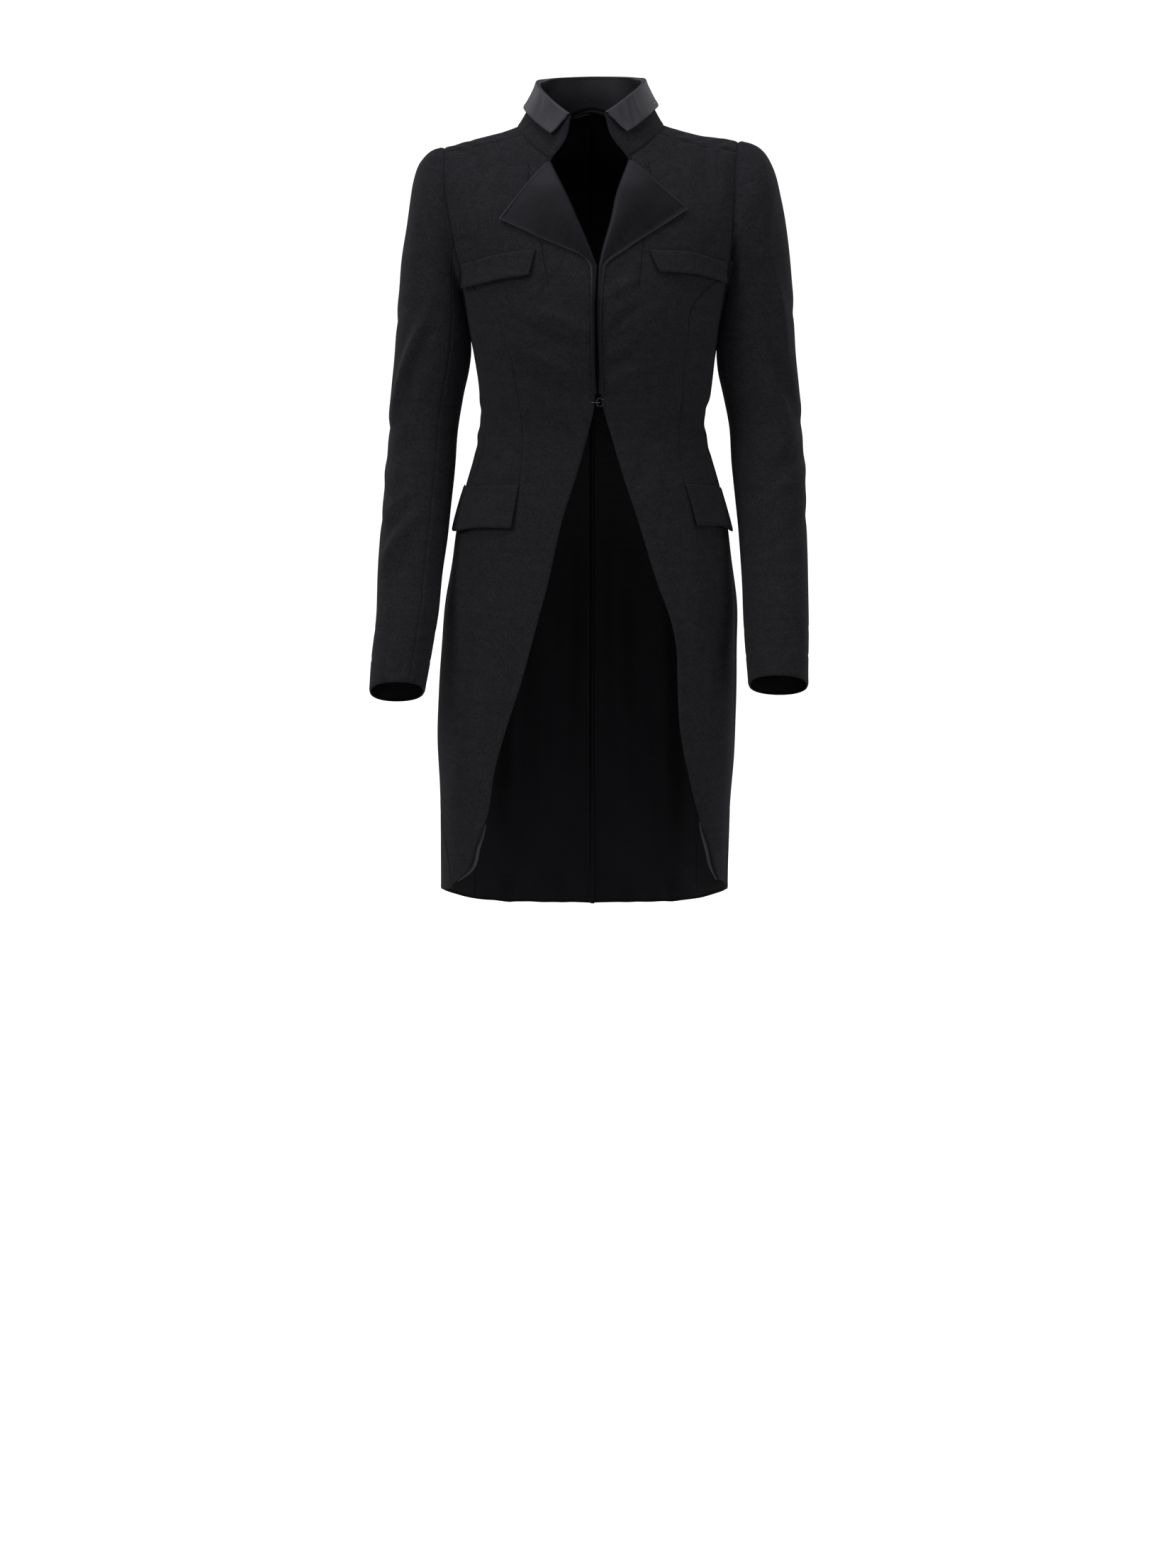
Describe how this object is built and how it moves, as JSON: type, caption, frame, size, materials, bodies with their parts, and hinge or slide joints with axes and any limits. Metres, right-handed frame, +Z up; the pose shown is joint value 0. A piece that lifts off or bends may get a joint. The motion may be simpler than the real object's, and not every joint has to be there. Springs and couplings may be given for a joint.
{
  "type": "tuxedo jacket",
  "caption": "Fitted black wool tuxedo coat with cutaway fronts, long tails, a stand collar with a satin fall and satin lapels, hollow and open as worn.",
  "frame": {"origin": "centre of the neck base, where the worn coat is held", "axes": "+Z up, -Y out of the front of the coat, +X to the right of a viewer who faces the front"},
  "size_m": [0.5143, 0.2661, 1.006],
  "materials": {
    "wool": "matt black wool crepe",
    "satin": "black satin",
    "light_satin": "black satin that catches the light",
    "metal": "dark blackened wire"
  },
  "bodies": {
    "root": {"front_left": "wool", "side_front_left": "wool", "side_back_left": "wool", "back_left": "wool", "top_sleeve_left": "wool", "under_sleeve_left": "wool", "chest_flap_left": "wool", "hip_flap_left": "wool", "facing_left": "satin", "hem_facing_left": "light_satin", "front_right": "wool", "side_front_right": "wool", "side_back_right": "wool", "back_right": "wool", "top_sleeve_right": "wool", "under_sleeve_right": "wool", "chest_flap_right": "wool", "hip_flap_right": "wool", "facing_right": "satin", "hem_facing_right": "light_satin", "collar_stand": "wool", "collar_fall": "light_satin", "hook": "metal", "eye": "metal"}
  },
  "joints": []
}
